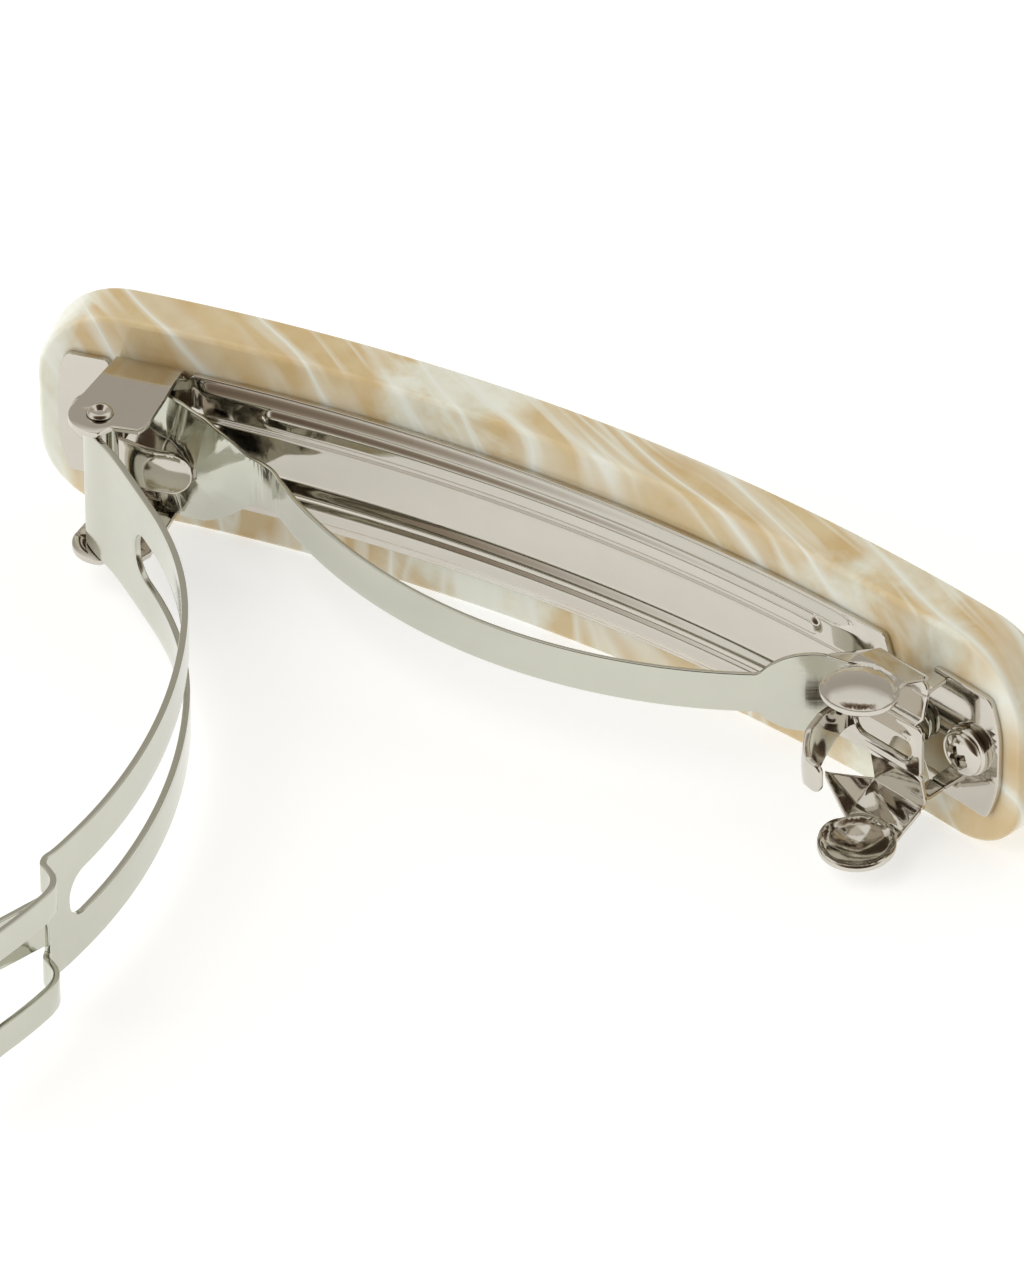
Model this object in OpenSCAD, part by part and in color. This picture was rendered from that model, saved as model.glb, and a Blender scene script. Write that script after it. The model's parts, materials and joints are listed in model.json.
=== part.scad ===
// Hair barrette with an arched acetate body and a spring clasp.
// It stands on its long edge: X runs along the body from hinge to catch, Z runs
// across its width, and -Y faces the hair. The origin is the middle of the edge
// that it stands on, half way through the body's thickness. Sizes are millimetres.

/* [Body] */
// Length of the body along its arc
body_len = 85; // [60:1:120]
// Width of the body, which is its height as it stands
body_w = 17.8; // [14:0.2:30]
// Thickness of the acetate
body_t = 4.2; // [2.5:0.1:6]
// Radius of the hollow back of the body
back_r = 153.5; // [120:0.5:250]
// Corner radius of the body's outline
body_corner = 6; // [2:0.5:8]
// Rounding along the body's long edges
body_edge = 0.8; // [0.2:0.1:1.5]

/* [Base plate] */
// Half of the base plate's length, along the arc
plate_half = 40.8; // [30:0.2:56]
// Width of the base plate
plate_w = 11.4; // [9:0.2:16]
// Thickness of the sheet that the plate and the catch are made of
sheet = 0.5; // [0.3:0.05:0.8]
// How far the side bands stand above the sunk middle
band_rise = 0.45; // [0.2:0.05:0.8]
// Width of the sunk middle
sunk_w = 4.2; // [3:0.1:5]
// Length of the stamped beads
bead_len = 48; // [20:1:60]
// Length of the narrow neck under the catch
neck_len = 8.6; // [6:0.2:12]
// Width of the narrow neck
neck_w = 5.5; // [4:0.1:7]

/* [Hinge] */
// Distance of the hinge pin from the middle, along the arc
pin_s = 34.7; // [20:0.1:50]
// Height of the hinge pin above the back of the body
pin_h = 7.65; // [6:0.05:12]
// Radius of the hinge pin
pin_r = 0.75; // [0.5:0.05:1.2]
// Radial clearance of the pin in the ears and the knuckle
pin_clear = 0.05; // [0.02:0.01:0.1]
// Radius of the ears round the pin
ear_r = 2.35; // [1.8:0.05:3]
// Gap between the knuckle and each ear
ear_gap = 0.15; // [0.1:0.05:0.4]

/* [Arm] */
// Width of the arm
arm_w = 11; // [8:0.2:14]
// Thickness of the arm's sheet
arm_t = 0.5; // [0.3:0.05:0.8]
// Angle of the open arm from the line between hinge and catch
open_deg = 66.7; // [40:0.1:90]
// Width of the long slot
slot_w = 3.9; // [3:0.1:5]
// Where the slot starts and ends, measured from the pin
slot_x = [6.6, 48.4];
// Width of the ring's opening
ring_w = 6; // [5:0.1:7]
// Where the ring's opening starts and ends, measured from the pin
ring_x = [51.2, 61.4];
// Outer end of the ring, measured from the pin
ring_end = 63.4; // [60:0.1:70]
// Width of the tongue that is bent out of the ring
tongue_w = 4.4; // [3:0.1:5]

/* [Tension bar] */
// Width of the bar between its heads
bar_w = 3.4; // [2:0.1:5]
// Thickness of the bar
bar_t = 0.35; // [0.2:0.05:0.6]
// Radius of the bow
bow_r = 40; // [30:0.5:80]
// Height of the bow's top above the back of the body
bow_h = 12.75; // [6:0.1:16]
// Radius of the round head near the catch
bar_head_r = 3.5; // [2.5:0.1:5]

/* [Catch] */
// Distance of the catch's centre from the middle, along the arc
catch_s = 33; // [20:0.1:45]
// Height of the web above the back of the body
web_h = 3.3; // [2.5:0.1:5]
// Width of the web
web_w = 4.4; // [3:0.1:6]
// Gap between the fold lines of the two wings
fold_w = 11.8; // [10:0.1:16]
// Height of the fold lines above the back of the body
fold_h = 2.35; // [1.5:0.05:4]
// Angle by which each wing leans outwards
wing_lean = 10; // [0:0.5:20]
// Radius of a thumb pad
pad_r = 2.9; // [2:0.1:5]
// Height of the pad's centre above its fold line
pad_h = 5.4; // [4:0.1:8]
// Radius of the pad's dished face
dish_r = 6; // [4:0.5:12]
// Height of the hook above the web
hook_h = 8; // [5:0.1:10]
// Greatest width of the hook
hook_w = 4.6; // [3:0.1:5.5]

/* [Screws] */
// Distance of each screw from the middle, along the arc
screw_s = 37.9; // [25:0.1:52]
// Radius of the screw's head
head_r = 1.95; // [1.5:0.05:3]
// Height of the screw's head
head_h = 1.9; // [1:0.1:2.5]
// Radius of the screw's shank
shank_r = 0.8; // [0.5:0.05:1.2]
// Depth of the shank in the acetate
shank_len = 3; // [2:0.1:5]

/* [Hidden] */
$fn = 96;
RAD = 180 / PI;
mid_z = body_w / 2;
axis_y = -back_r - body_t / 2;
half = body_len / 2;
band_h = sheet + band_rise;
ear_in = arm_w / 2 + ear_gap;
ear_x = [-1.35, 3.85];
ear_foot = 3.4;
plate_end_r = 18;
pad_w = plate_w - 0.6;
bead_z = plate_w / 2 - 1.6;
bead_half = 0.7;
bead_rise = 0.25;
screw_fit = 0.02;
neck_s = [catch_s + 1 - neck_len, catch_s + 1];
pin_phi = -pin_s / back_r * RAD;
pin_xy = [(back_r - pin_h) * sin(pin_phi), axis_y + (back_r - pin_h) * cos(pin_phi)];
knuckle_r = pin_r + pin_clear + arm_t;
rise_deg = 29.5;
rise_len = 13.1;
bend_1 = 30.3;
top_deg = 8;
bend_2 = 46.4;
fall_deg = -27;
bar_mid_x = 1.36;
bow_y = -body_t / 2 - bow_h + bow_r;
bow_right = 34;
bow_left = 33;
fold_gap = 0.12;
seat_gap = 0.02;
ear_base = -0.12 * sheet;
// Both ends of the tension bar, which rest just clear of the plate
bar_end_y = -6.45 - sheet;
root_r = sheet / 2;
hook_t = -4.55;
hook_deg = 12.3;
web_x = [hook_t + root_r + fold_gap, 2.9];

// ---- Placing -------------------------------------------------------------

// Places its children s along the arc and n out from the hollow back, at mid
// width. There X runs along the arc, and -Y points away from the body.
module at_arc(s, n = 0) {
    translate([0, axis_y, mid_z])
        rotate([0, 0, -s / back_r * RAD])
            translate([0, back_r + n, 0])
                children();
}

// Sweeps a section, drawn as [n, z], from s1 to s2 along the arc.
module along_arc(s1, s2) {
    translate([0, axis_y, mid_z])
        rotate([0, 0, 90 - s2 / back_r * RAD])
            rotate_extrude(angle = (s2 - s1) / back_r * RAD, $fn = 720)
                translate([back_r, 0])
                    children();
}

// A prism along Y over an outline drawn as [x, z].
module prism_y(y1, y2) {
    translate([0, y2, 0])
        rotate([90, 0, 0])
            linear_extrude(y2 - y1)
                children();
}

// A bent strip's section: straight runs through points, with mitred corners.
module ribbon(points, t) {
    last = len(points) - 1;
    polygon(concat([for (i = [0 : last]) points[i] + offset_at(points, i) * t / 2],
        [for (i = [last : -1 : 0]) points[i] - offset_at(points, i) * t / 2]));
}

// Points along an arc, without its first one.
function arc_points(centre, r, from, to, steps) = [for (i = [1 : steps])
    let (a = from + (to - from) * i / steps)
    centre + r * [cos(a), sin(a)]];

function across(a, b) = [a[1] - b[1], b[0] - a[0]] / norm(b - a);
function mitre(u, v) = (u + v) / (1 + u * v);
function offset_at(p, i) = i == 0 ? across(p[0], p[1])
    : i == len(p) - 1 ? across(p[i - 1], p[i])
    : mitre(across(p[i - 1], p[i]), across(p[i], p[i + 1]));

// A rectangle with round corners, given by its two ends along x and its height.
module rounded(x1, x2, h, r) {
    translate([x1 + r, -h / 2])
        square([x2 - x1 - 2 * r, h]);
    translate([x1, -h / 2 + r])
        square([x2 - x1, h - 2 * r]);
    for (x = [x1 + r, x2 - r], y = [-h / 2 + r, h / 2 - r])
        translate([x, y])
            circle(r = r, $fn = 48);
}

// ---- Body ----------------------------------------------------------------

module body_section() {
    h = body_w / 2;
    e = body_edge;
    translate([e, -h])
        square([body_t - 2 * e, body_w]);
    translate([0, -h + e])
        square([body_t, body_w - 2 * e]);
    for (n = [e, body_t - e], z = [-h + e, h - e])
        translate([n, z])
            circle(r = e, $fn = 32);
}

module body() {
    color([0.83, 0.70, 0.47])
    difference() {
        along_arc(-half - 1, half + 1)
            body_section();
        for (side = [-1, 1]) {
            at_arc(side * (half - body_corner))
                mirror([side < 0 ? 1 : 0, 0, 0])
                    prism_y(-7, 9)
                        difference() {
                            translate([-0.5, -body_w])
                                square([body_corner + 5, 2 * body_w]);
                            rounded(-20, body_corner, body_w + 0.04, body_corner);
                        }
            at_arc(side * screw_s)
                rotate([-90, 0, 0])
                    translate([0, 0, -1])
                        cylinder(r = shank_r + screw_fit, h = shank_len + 1.1, $fn = 48);
        }
    }
}

// ---- Base plate ----------------------------------------------------------

// One raised side band, drawn as [n, z] for the upper side.
module band_section() {
    h = plate_w / 2;
    m = sunk_w / 2;
    polygon([[-0.3, m - 0.2], [-band_h, m + 0.45], [-band_h, h - 0.2], [-band_h + 0.2, h], [-0.3, h]]);
}

// The hollow under a raised band.
module groove_section() {
    translate([-band_rise, sunk_w / 2 + 0.7])
        square([2, plate_w / 2 - sheet - sunk_w / 2 - 0.7]);
}

// A long oval bead pressed up out of a band.
module bead() {
    intersection() {
        along_arc(-bead_len / 2 - 1, bead_len / 2 + 1)
            translate([-band_h - bead_rise, bead_z - bead_half - 1])
                square([bead_rise + 0.1, 2 * bead_half + 2]);
        translate([0, 0, mid_z + bead_z])
            prism_y(-20, 10)
                rounded(-bead_len / 2, bead_len / 2, 2 * bead_half, bead_half - 0.02);
    }
}

// What is cut off beside the neck and the right pad, drawn for the upper side.
module neck_cut() {
    at_arc((neck_s[0] + neck_s[1]) / 2)
        prism_y(-5, 4)
            polygon([[-neck_len / 2 - 2.6, plate_w / 2 + 0.01], [-neck_len / 2, neck_w / 2],
                [neck_len / 2, neck_w / 2], [neck_len / 2, pad_w / 2], [neck_len / 2 + 12, pad_w / 2],
                [neck_len / 2 + 12, plate_w], [-neck_len / 2 - 2.6, plate_w]]);
}

// What is cut off beside the left pad, drawn for the upper side.
module left_cut() {
    at_arc(-pin_s - 1.6)
        prism_y(-5, 4)
            translate([-12, pad_w / 2])
                square([12, plate_w]);
}

module end_cut() {
    at_arc(plate_half - plate_end_r)
        prism_y(-5, 8)
            difference() {
                translate([plate_end_r - 3, -plate_w])
                    square([6, 2 * plate_w]);
                circle(r = plate_end_r, $fn = 180);
            }
}

module ear() {
    difference() {
        linear_extrude(sheet) {
            translate([0, -pin_h])
                circle(r = ear_r, $fn = 64);
            polygon([[ear_x[0], ear_base], [-ear_r, -pin_h + 1], [0, -pin_h - 0.9],
                [1.6, -pin_h - 0.95], [ear_foot, -pin_h - 0.9], [ear_x[1], ear_base]]);
        }
        translate([0, -pin_h, -1])
            cylinder(r = pin_r + pin_clear, h = sheet + 2, $fn = 48);
    }
}

// The small tongue that is pressed up beside the hinge and keeps the bar in line.
module keeper() {
    intersection() {
        translate([0, 0, -1.8])
            linear_extrude(3.6)
                ribbon([[-2.8, -0.3], [-1.7, -0.6], [-0.6, -2.2], [1.2, -3.6], [3.3, -4.0]], sheet);
        prism_y(-6, 1)
            rounded(-4.6, 3.2, 3.6, 1.75);
    }
}

// Mirrors its children about mid width.
module both_sides() {
    children();
    translate([0, 0, mid_z])
        mirror([0, 0, 1])
            translate([0, 0, -mid_z])
                children();
}

module base_plate() {
    color([0.80, 0.78, 0.74])
    difference() {
        union() {
            along_arc(-plate_half - 1, plate_half + 1)
                translate([-sheet, -plate_w / 2])
                    square([sheet, plate_w]);
            both_sides() {
                along_arc(-pin_s - 1.1, neck_s[0] - 2.7)
                    band_section();
                bead();
                at_arc(-pin_s) {
                    translate([0, 0, ear_in])
                        ear();
                    translate([ear_x[0], -sheet - 0.1, plate_w / 2 - 0.3])
                        cube([ear_x[1] - ear_x[0] - 0.1, sheet, ear_in + sheet - plate_w / 2 + 0.3]);
                }
            }
            at_arc(-pin_s + 3.2)
                keeper();
        }
        both_sides() {
            along_arc(-pin_s - 0.8, neck_s[0] - 3.2)
                groove_section();
            neck_cut();
            left_cut();
        }
        for (side = [-1, 1])
            mirror([side < 0 ? 1 : 0, 0, 0]) {
                end_cut();
                at_arc(screw_s)
                    rotate([90, 0, 0])
                        cylinder(r = shank_r + 0.25, h = 6, center = true, $fn = 48);
            }
    }
}

// ---- Screws and pin ------------------------------------------------------

module screw() {
    difference() {
        union() {
            rotate([90, 0, 0])
                translate([0, 0, sheet + seat_gap])
                    rotate_extrude($fn = 72)
                        intersection() {
                            square([head_r, head_h]);
                            translate([0, head_h - 2.5])
                                circle(r = 2.5);
                        }
            rotate([-90, 0, 0])
                translate([0, 0, -sheet - 0.1])
                    cylinder(r = shank_r, h = sheet + 0.1 + shank_len - 0.8, $fn = 48);
            rotate([-90, 0, 0])
                translate([0, 0, shank_len - 0.8])
                    cylinder(r1 = shank_r, r2 = 0.2, h = 0.8, $fn = 48);
        }
        translate([0, -sheet - seat_gap - head_h, 0])
            for (a = [0, 90])
                rotate([0, a + 20, 0])
                    cube([2.2, 1.4, 0.45], center = true);
    }
}

module screws() {
    color([0.78, 0.76, 0.72])
    for (side = [-1, 1])
        at_arc(side * screw_s)
            screw();
}

module hinge_pin() {
    reach = ear_in + sheet;
    color([0.82, 0.80, 0.76])
    translate([pin_xy[0], pin_xy[1], mid_z]) {
        cylinder(r = pin_r, h = 2 * reach + 0.2, center = true, $fn = 48);
        for (side = [-1, 1])
            mirror([0, 0, side < 0 ? 1 : 0])
                translate([0, 0, reach + 0.05])
                    rotate_extrude($fn = 48)
                        intersection() {
                            square([pin_r + 0.35, 0.45]);
                            translate([0, -0.95])
                                circle(r = 1.4);
                        }
    }
}

// ---- Arm -----------------------------------------------------------------

p_rise = rise_len * [cos(rise_deg), sin(rise_deg)];
c_1 = p_rise + bend_1 * [sin(rise_deg), -cos(rise_deg)];
p_top = c_1 + bend_1 * [-sin(top_deg), cos(top_deg)];
c_2 = p_top + bend_2 * [sin(top_deg), -cos(top_deg)];
p_neck = c_2 + bend_2 * [-sin(fall_deg), cos(fall_deg)];
// The strip leaves the knuckle straight, bows over in two bends and then steps
// down along the ring's rails.
arm_line = concat(
    [(knuckle_r - 0.4) * p_rise / rise_len, p_rise],
    arc_points(c_1, bend_1, 90 + rise_deg, 90 + top_deg, 8),
    arc_points(c_2, bend_2, 90 + top_deg, 90 + fall_deg, 12),
    [for (step = [[1, -0.5], [2.9, 0.5], [3.9, 0.6], [5.2, 0.1], [7.6, -1.2], [10, -2.6]]) p_neck + step],
    [[ring_end + 0.5, p_neck[1] - 3.9]]);

// The arm drawn with the line from pin to ring along X and the body towards +Y.
module arm_flat() {
    difference() {
        union() {
            cylinder(r = knuckle_r, h = arm_w, center = true, $fn = 64);
            intersection() {
                translate([0, 0, -arm_w / 2])
                    linear_extrude(arm_w)
                        ribbon(arm_line, arm_t);
                prism_y(-10, 20)
                    rounded(-3, ring_end, arm_w, 2.4);
            }
        }
        cylinder(r = pin_r + pin_clear, h = arm_w + 2, center = true, $fn = 48);
        prism_y(-5, 20)
            rounded(slot_x[0], slot_x[1], slot_w, slot_w / 2 - 0.05);
        prism_y(-5, 20)
            rounded(ring_x[0], ring_x[1], ring_w, 0.8);
    }
    intersection() {
        translate([0, 0, -tongue_w / 2])
            linear_extrude(tongue_w)
                ribbon([p_neck + [0.2, -0.1], p_neck + [1.5, -0.9], p_neck + [2.6, -1.9],
                    p_neck + [4.5, -3.7], p_neck + [6.4, -6.2]], arm_t);
        prism_y(-10, 20)
            rounded(p_neck[0] - 4, p_neck[0] + 6.2, tongue_w, 1.6);
    }
}

module arm() {
    color([0.83, 0.83, 0.79])
    translate([pin_xy[0], pin_xy[1], mid_z])
        rotate([0, 0, -open_deg])
            arm_flat();
}

// ---- Tension bar ---------------------------------------------------------

module bar_outline() {
    x_head = bar_mid_x + bow_r * sin(bow_right) + 0.4;
    square([2 * 27, bar_w], center = true);
    difference() {
        union() {
            rounded(-33.2, -23.6, arm_w - 0.1, 2.6);
            translate([-24.6, 0])
                circle(r = 4.1);
        }
        rounded(-40, -27.3, 5.4, 1.5);
    }
    translate([x_head, 0])
        circle(r = bar_head_r);
    rounded(24, 34.2, 3, 1.45);
}

// The bar seen edge on: a bow, a raised head by the hinge and a flat end under the web.
module bar_bow() {
    centre = [bar_mid_x, bow_y];
    left = centre + bow_r * [-sin(bow_left), -cos(bow_left)];
    right = centre + bow_r * [sin(bow_right), -cos(bow_right)];
    linear_extrude(arm_w, center = true)
        ribbon(concat(
            [[-33.2, bar_end_y]],
            [for (step = [[-7.4, 0.2], [-5.6, -0.25], [-2.2, 0.55], [-0.9, 0.42], [0, 0]]) left + step],
            arc_points(centre, bow_r, 270 - bow_left, 270 + bow_right, 18),
            [for (step = [[1.6, 1.05], [2.8, 1.65], [4.3, 1.85], [6.4, 1.62]]) right + step],
            [[35, bar_end_y]]), bar_t);
}

module tension_bar() {
    color([0.85, 0.84, 0.81])
    translate([0, 0, mid_z])
        intersection() {
            bar_bow();
            prism_y(-25, 5)
                bar_outline();
        }
}

// ---- Catch ---------------------------------------------------------------

module catch_web() {
    edge = fold_w / 2 - root_r - fold_gap;
    flap = [-2.4, 2.6];
    color([0.80, 0.76, 0.70])
    at_arc(catch_s) {
        difference() {
            union() {
                translate([web_x[0], -web_h - sheet / 2, -web_w / 2])
                    cube([web_x[1] - web_x[0], sheet, web_w]);
                for (side = [-1, 1])
                    mirror([0, 0, side < 0 ? 1 : 0]) {
                        rotate([0, 90, 0])
                            translate([0, 0, flap[0]])
                                linear_extrude(flap[1] - flap[0])
                                    ribbon([[-web_w / 2 + 0.2, -web_h], [-web_w / 2 - 0.1, -web_h],
                                        [-edge, -fold_h]], sheet);
                        rotate([0, 90, 0])
                            translate([0, 0, 1.2])
                                linear_extrude(flap[1] - 1.2)
                                    ribbon([[-4.6, -fold_h - 0.3], [-4.9, -sheet - 2 * seat_gap]], sheet);
                    }
            }
            prism_y(-6, 0)
                rounded(web_x[0] + 1, web_x[1] - 0.8, 1.9, 0.9);
        }
    }
}

module catch_hook() {
    color([0.80, 0.76, 0.70])
    at_arc(catch_s)
        translate([hook_t, -web_h, 0])
            rotate([0, 0, hook_deg])
                intersection() {
                    translate([0, 0, -hook_w / 2])
                        linear_extrude(hook_w)
                            ribbon([[0, 0.1], [0, -hook_h + 2.6], [0.35, -hook_h + 1.3],
                                [1.1, -hook_h + 0.3], [2.2, -hook_h]], sheet);
                    rotate([0, -90, 0])
                        translate([0, 0, -5])
                            linear_extrude(10) {
                                polygon([[1.45, 0.3], [1.5, -1], [2.3, -3.5], [2.3, -hook_h + 1.6],
                                    [1.6, -hook_h + 0.5], [0.9, -hook_h - 0.3], [-0.9, -hook_h - 0.3],
                                    [-1.6, -hook_h + 0.5], [-2.3, -hook_h + 1.6], [-2.3, -3.5],
                                    [-1.5, -1], [-1.45, 0.3]]);
                            }
                }
}

// One wing, drawn with its fold line along X and its face in the X-Y plane. The
// dished pad bulges towards +Z, away from the clasp's middle.
module wing() {
    sink = sqrt(dish_r * dish_r - pad_r * pad_r);
    difference() {
        union() {
            translate([-2.6, 0, 0])
                rotate([0, 90, 0])
                    cylinder(r = root_r, h = 4.6, $fn = 32);
            translate([0, 0, -sheet / 2])
                linear_extrude(sheet)
                    polygon([[2, 0], [1.9, -3.2], [2.6, -pad_h + 0.6], [0.65, -pad_h],
                        [-1.7, -pad_h + 1.2], [-2.2, -4], [-6, -1.1], [-5.6, -0.8], [-2.6, -0.3], [-2.6, 0]]);
        }
        translate([0.65, -pad_h, -2])
            cylinder(r = pad_r - 0.3, h = 4, $fn = 72);
    }
    translate([0.65, -pad_h, -sink])
        rotate_extrude($fn = 72)
            intersection() {
                difference() {
                    circle(r = dish_r + sheet / 2, $fn = 180);
                    circle(r = dish_r - sheet / 2, $fn = 180);
                }
                translate([0, sink - 0.6])
                    square([pad_r, dish_r]);
            }
}

module catch_wing(side) {
    color([0.80, 0.78, 0.74])
    at_arc(catch_s)
        mirror([0, 0, side < 0 ? 1 : 0])
            translate([0, -fold_h, fold_w / 2])
                rotate([-wing_lean, 0, 0])
                    wing();
}

module catch_wing_upper() {
    catch_wing(1);
}

module catch_wing_lower() {
    catch_wing(-1);
}

body();
base_plate();
screws();
hinge_pin();
arm();
tension_bar();
catch_web();
catch_hook();
catch_wing_upper();
catch_wing_lower();
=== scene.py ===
"""A hair barrette: an arched acetate body that carries a bright, nickel-plated spring clasp.

Lengths are in millimetres in the CAD's frame, and add_piece() turns them into metres. Along the
arched back a place is (s, n, z): s along the arc, n out from the hollow back (the clasp lies at
negative n) and z from the middle of the width.
"""
import json
import math

import bmesh
import bpy
import numpy as np
from mathutils import Matrix, Vector


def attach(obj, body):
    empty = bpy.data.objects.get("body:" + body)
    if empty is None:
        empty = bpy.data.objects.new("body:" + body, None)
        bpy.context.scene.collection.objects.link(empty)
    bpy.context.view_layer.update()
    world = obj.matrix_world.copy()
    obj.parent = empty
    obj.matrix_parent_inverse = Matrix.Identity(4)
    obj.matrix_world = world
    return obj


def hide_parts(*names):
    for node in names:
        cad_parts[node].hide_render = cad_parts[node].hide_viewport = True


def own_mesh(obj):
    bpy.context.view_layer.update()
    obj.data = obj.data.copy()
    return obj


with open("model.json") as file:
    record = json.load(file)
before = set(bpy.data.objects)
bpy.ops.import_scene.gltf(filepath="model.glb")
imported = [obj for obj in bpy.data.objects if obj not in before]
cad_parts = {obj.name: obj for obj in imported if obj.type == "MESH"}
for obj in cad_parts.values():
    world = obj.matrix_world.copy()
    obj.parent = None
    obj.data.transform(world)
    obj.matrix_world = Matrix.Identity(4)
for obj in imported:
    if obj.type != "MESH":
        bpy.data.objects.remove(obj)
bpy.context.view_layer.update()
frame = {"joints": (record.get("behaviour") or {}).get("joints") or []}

# ---- Sizes -------------------------------------------------------------------

MM = 0.001
BACK_R = 153.5        # radius of the hollow back
BODY_T = 4.2          # thickness of the acetate
BODY_LEN = 85.0       # length of the body along its arc
BODY_W = 17.8         # width of the body
SHEET = 0.5           # thickness of the plate, the arm and the catch
PLATE_HALF = 40.8     # half the length of the base plate
PLATE_W = 11.4        # width of the base plate
OPEN_DEG = 66.7       # how far the arm stands open
CATCH_S = 33.0        # the catch's place along the arc
SCREW_S = 37.9        # each screw's place along the arc
PIN_S = 34.7          # the hinge's place along the arc
PIN_H = 7.65          # height of the pin above the hollow back
EAR_Z = 5.9           # each ear's distance from mid width, and each fold's in the catch
FOLD_H = 2.35         # height of the catch's two folds above the hollow back
WEB_H = 3.3           # height of the catch's raised strip above the hollow back
BAR_T = 0.35          # thickness of the tension bar
GAP = 0.03            # what keeps two touching faces from sharing one plane

joints = {joint["name"]: joint for joint in frame["joints"]}
pin = np.array(joints["arm_hinge"]["pos_m"]) / MM
MID_Z = pin[2]
AXIS_Y = -BACK_R - BODY_T / 2


# ---- Placing -----------------------------------------------------------------

def on_arc(s, n, z):
    """The point at s along the arc, n out from the back and z from mid width."""
    turn = np.asarray(s) / BACK_R
    return np.stack(np.broadcast_arrays((BACK_R + n) * np.sin(turn),
                                        (BACK_R + n) * np.cos(turn) + AXIS_Y, MID_Z + z), -1)


def beside(s0, t, n, z):
    """The point t along the straight line that touches the arc at s0, and n out from it."""
    turn = s0 / BACK_R
    x, y = t, BACK_R + np.asarray(n)
    return np.stack(np.broadcast_arrays(x * math.cos(turn) + y * math.sin(turn),
                                        -x * math.sin(turn) + y * math.cos(turn) + AXIS_Y,
                                        MID_Z + z), -1)


def from_pin(x, y, z):
    """The point on the open arm, x along the line from the pin to the ring and y towards the body."""
    turn = math.radians(-OPEN_DEG)
    x, y = np.asarray(x), np.asarray(y)
    return np.stack(np.broadcast_arrays(pin[0] + x * math.cos(turn) - y * math.sin(turn),
                                        pin[1] + x * math.sin(turn) + y * math.cos(turn),
                                        MID_Z + z), -1)


class Line:
    """A smooth line through a few points, measured by its own length."""

    def __init__(self, points, step=0.05):
        p = np.array(points, float)
        d = np.r_[0, np.cumsum(np.linalg.norm(np.diff(p, axis=0), axis=1))]
        slope = np.gradient(p, d, axis=0)
        t = np.linspace(0, d[-1], max(int(d[-1] / step), 2))
        i = np.clip(np.searchsorted(d, t, side="right") - 1, 0, len(p) - 2)
        h = (d[i + 1] - d[i])[:, None]
        f = ((t - d[i])[:, None]) / h
        self.p = ((2 * f**3 - 3 * f**2 + 1) * p[i] + (f**3 - 2 * f**2 + f) * h * slope[i]
                  + (3 * f**2 - 2 * f**3) * p[i + 1] + (f**3 - f**2) * h * slope[i + 1])
        self.d = np.r_[0, np.cumsum(np.linalg.norm(np.diff(self.p, axis=0), axis=1))]
        self.tangent = np.gradient(self.p, self.d, axis=0)
        self.tangent /= np.linalg.norm(self.tangent, axis=1)[:, None]
        self.length = self.d[-1]

    def at(self, u, n):
        """The points u along the line and n to its left."""
        p = np.stack([np.interp(u, self.d, self.p[:, k]) for k in (0, 1)], -1)
        t = np.stack([np.interp(u, self.d, self.tangent[:, k]) for k in (0, 1)], -1)
        beyond = np.minimum(u, 0) + np.maximum(u - self.length, 0)
        p = p + t * np.asarray(beyond)[..., None]
        left = np.stack([-t[..., 1], t[..., 0]], -1)
        return p + left * np.asarray(n)[..., None]

    def where(self, x, axis=0):
        """How far along the line the given coordinate is first reached."""
        reached = np.argmax((self.p[:, axis] - x) * np.sign(self.p[-1, axis] - self.p[0, axis]) >= 0)
        return self.d[reached]


def arc_points(centre, r, start, stop, count):
    """Points round a centre between two angles in degrees."""
    turn = np.radians(np.linspace(start, stop, count))
    return [(centre[0] + r * math.cos(a), centre[1] + r * math.sin(a)) for a in turn]


# ---- Outlines ----------------------------------------------------------------

def rounded_corners(corners, radii, per_corner=7):
    """A closed outline through the corners, each rounded by its own radius."""
    out = []
    count = len(corners)
    for i in range(count):
        a, b, c = (np.array(corners[(i + k) % count], float) for k in (-1, 0, 1))
        r = radii[i] if hasattr(radii, "__len__") else radii
        u, v = (a - b) / np.linalg.norm(a - b), (c - b) / np.linalg.norm(c - b)
        half = math.acos(np.clip(np.dot(u, v), -1, 1)) / 2
        if r <= 0 or half > math.pi / 2 - 0.02:
            out.append(tuple(b))
            continue
        reach = min(r / math.tan(half), 0.48 * np.linalg.norm(a - b), 0.48 * np.linalg.norm(c - b))
        r = reach * math.tan(half)
        centre = b + (u + v) / np.linalg.norm(u + v) * (r / math.sin(half))
        first, last = b + u * reach - centre, b + v * reach - centre
        for f in np.linspace(0, 1, per_corner):
            turn = math.pi - 2 * half
            w = (math.sin((1 - f) * turn) * first + math.sin(f * turn) * last) / math.sin(turn)
            out.append(tuple(centre + w))
    return out


def circle(x, y, r, count=32):
    return [(x + r * math.cos(a), y + r * math.sin(a))
            for a in np.linspace(0, 2 * math.pi, count, endpoint=False)]


def box_outline(x1, x2, y1, y2, r, per_corner=7):
    """A rounded box between x1 and x2, and y1 and y2."""
    return rounded_corners([(x1, y1), (x2, y1), (x2, y2), (x1, y2)], r, per_corner)


def area(loop):
    """The area inside the closed loop, above 0 if it runs anticlockwise."""
    x, y = np.array(loop).T
    return 0.5 * np.sum(x * np.roll(y, -1) - np.roll(x, -1) * y)


def inset(loop, d):
    """The closed loop moved to its left by d."""
    p = np.array(loop, float)
    a, b = p - np.roll(p, 1, 0), np.roll(p, -1, 0) - p
    a /= np.linalg.norm(a, axis=1)[:, None]
    b /= np.linalg.norm(b, axis=1)[:, None]
    na, nb = np.stack([-a[:, 1], a[:, 0]], -1), np.stack([-b[:, 1], b[:, 0]], -1)
    m = na + nb
    m /= np.maximum(np.sum(na * nb, 1) + 1, 0.25)[:, None]
    return p + m * d


# ---- Mesh building -----------------------------------------------------------

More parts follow.
